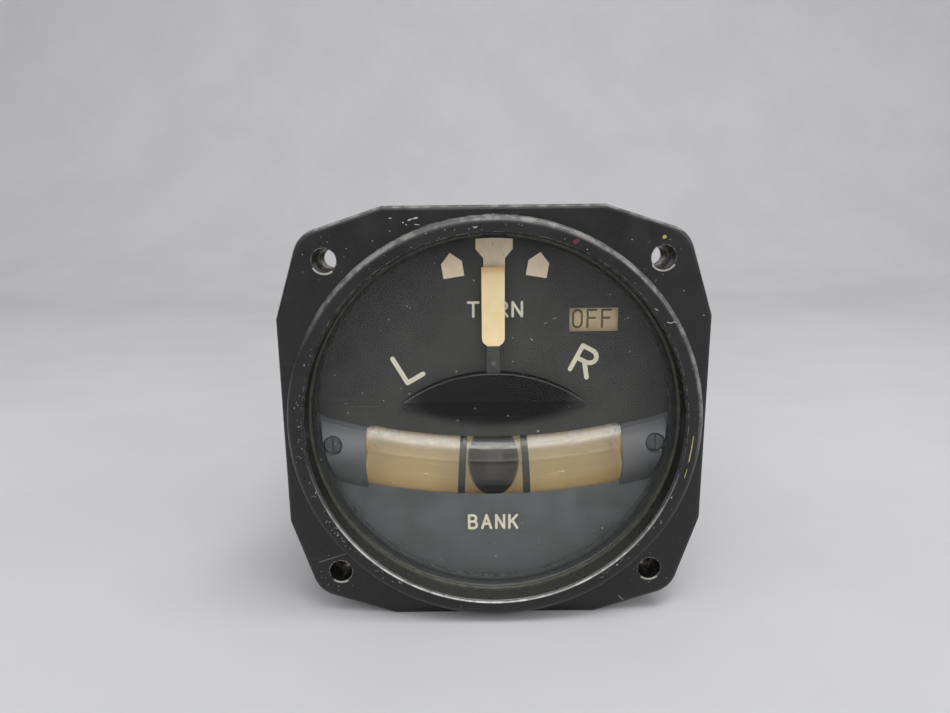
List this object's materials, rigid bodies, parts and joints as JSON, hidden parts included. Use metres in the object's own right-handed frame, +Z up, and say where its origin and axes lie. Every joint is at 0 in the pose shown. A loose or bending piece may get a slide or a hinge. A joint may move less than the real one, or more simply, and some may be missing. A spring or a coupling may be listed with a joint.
{
  "type": "aircraft turn and slip indicator",
  "caption": "Round panel instrument with a square eight-sided flange, glazed black dial, turn pointer, curved slip tube with a ball and a power flag; gyro mechanism in a black case.",
  "frame": {"origin": "centre of the four mounting holes, on the front face of the flange and on the dial axis", "axes": "+Z up, -Y out of the dial towards the reader, +X to the reader's right"},
  "size_m": [0.0826, 0.123, 0.0826],
  "materials": {
    "black_enamel": "satin black enamel, worn bright at the edges",
    "case_enamel": "black crackle-free enamel on drawn aluminium",
    "plated_steel": "cadmium-coloured plating",
    "cover_glass": "clear, dusty",
    "seal_rubber": "matt",
    "spring_wire": "drawn wire",
    "dial_black": "matt black",
    "mask_black": "satin black",
    "blackened_steel": "blackened",
    "brass": "machined",
    "tube_glass": "clear, filled with damping liquid",
    "black_rubber": "matt",
    "ball_black": "polished black",
    "band_metal": "dark grey",
    "cradle_cream": "aged cream paint inside",
    "pointer_cream": "aged cream luminous paint on grey sheet",
    "bright_steel": "ground",
    "frame_aluminium": "machined",
    "gimbal_aluminium": "die cast and machined",
    "stator_iron": "stacked sheet iron",
    "copper_wire": "enamelled copper",
    "rotor_bronze": "turned heavy alloy",
    "flag_cream": "aged cream paint",
    "actuator_black": "black",
    "connector_olive": "olive drab conversion coat",
    "connector_resin": "moulded resin",
    "contact_brass": "plated"
  },
  "bodies": {
    "housing": {"bezel_flange": "black_enamel", "mounting_nuts": "plated_steel", "cover_glass": "cover_glass", "glass_gasket": "seal_rubber", "glass_snap_ring": "spring_wire", "dial_plate": "dial_black", "inclinometer_mask": "mask_black", "dial_screws": "blackened_steel", "dial_posts": "brass", "inclinometer_tube": "tube_glass", "tube_end_plugs": "black_rubber", "centre_bands": "band_metal", "tube_cradle": "cradle_cream", "pointer_bearings": "brass", "pointer_bridge": "frame_aluminium", "bridge_posts": "brass", "bridge_screws": "plated_steel", "front_frame_plate": "frame_aluminium", "rear_frame_plate": "frame_aluminium", "frame_pillars": "frame_aluminium", "front_frame_screws": "plated_steel", "rear_spacers": "brass", "rear_case_screws": "plated_steel", "gimbal_bearings": "brass", "stop_pins": "bright_steel", "damper_cylinder": "brass", "damper_bracket": "frame_aluminium", "centring_spring": "spring_wire", "spring_bracket": "frame_aluminium", "spring_adjuster": "brass", "flag_bracket": "frame_aluminium", "flag_actuator": "actuator_black", "case_body": "case_enamel", "case_gasket": "seal_rubber", "case_screws": "plated_steel", "connector_shell": "connector_olive", "connector_insert": "connector_resin", "connector_pins": "contact_brass", "connector_screws": "plated_steel"},
    "ball": {"slip_ball": "ball_black"},
    "pointer": {"turn_pointer": "pointer_cream", "pointer_staff": "bright_steel", "pointer_pinion": "brass", "pointer_counterweight": "brass"},
    "gimbal": {"gimbal_frame": "gimbal_aluminium", "gimbal_pivots": "bright_steel", "gimbal_sector_gear": "brass", "balance_weights": "brass", "bearing_outer_races": "bright_steel", "bearing_balls": "bright_steel", "stator_core": "stator_iron", "stator_windings": "copper_wire", "damper_lever": "frame_aluminium"},
    "rotor": {"gyro_rotor": "rotor_bronze", "rotor_shaft": "bright_steel", "bearing_inner_races": "bright_steel"},
    "damper": {"damper_piston": "frame_aluminium"},
    "flag": {"off_flag": "flag_cream", "flag_arbor": "bright_steel"}
  },
  "joints": [
    {"name": "gimbal_tilt", "type": "hinge", "parent": "housing", "child": "gimbal", "pos_m": [0, 0.05808, 0], "axis": [0, 1, 0], "range_deg": [-18, 18], "stiffness_Nm_per_rad": 0.25, "deforming": ["centring_spring"]},
    {"name": "turn_pointer", "type": "hinge", "parent": "housing", "child": "pointer", "pos_m": [0, 0.02448, -0.022], "axis": [0, 1, 0], "range_deg": [-27, 27]},
    {"name": "rotor_spin", "type": "hinge", "parent": "gimbal", "child": "rotor", "pos_m": [0, 0.05808, 0], "axis": [1, 0, 0], "continuous": true},
    {"name": "slip_ball", "type": "hinge", "parent": "housing", "child": "ball", "pos_m": [0, 0.01198, 0.11015], "axis": [0, 1, 0], "range_deg": [-9.5, 9.5]},
    {"name": "off_flag", "type": "hinge", "parent": "housing", "child": "flag", "pos_m": [0.02, 0.01148, 0.0122], "axis": [-1, 0, 0], "range_deg": [0, 95], "stiffness_Nm_per_rad": 0.0005, "springref_deg": -34.38},
    {"name": "damper_slide", "type": "slide", "parent": "housing", "child": "damper", "axis": [1, 0, 0], "range_m": [-0.00378, 0.00378]}
  ],
  "couplings": [
    {"joint": "turn_pointer", "follows": "gimbal_tilt", "ratio": -1.5},
    {"joint": "damper_slide", "follows": "gimbal_tilt", "m_per_rad": 0.012}
  ]
}
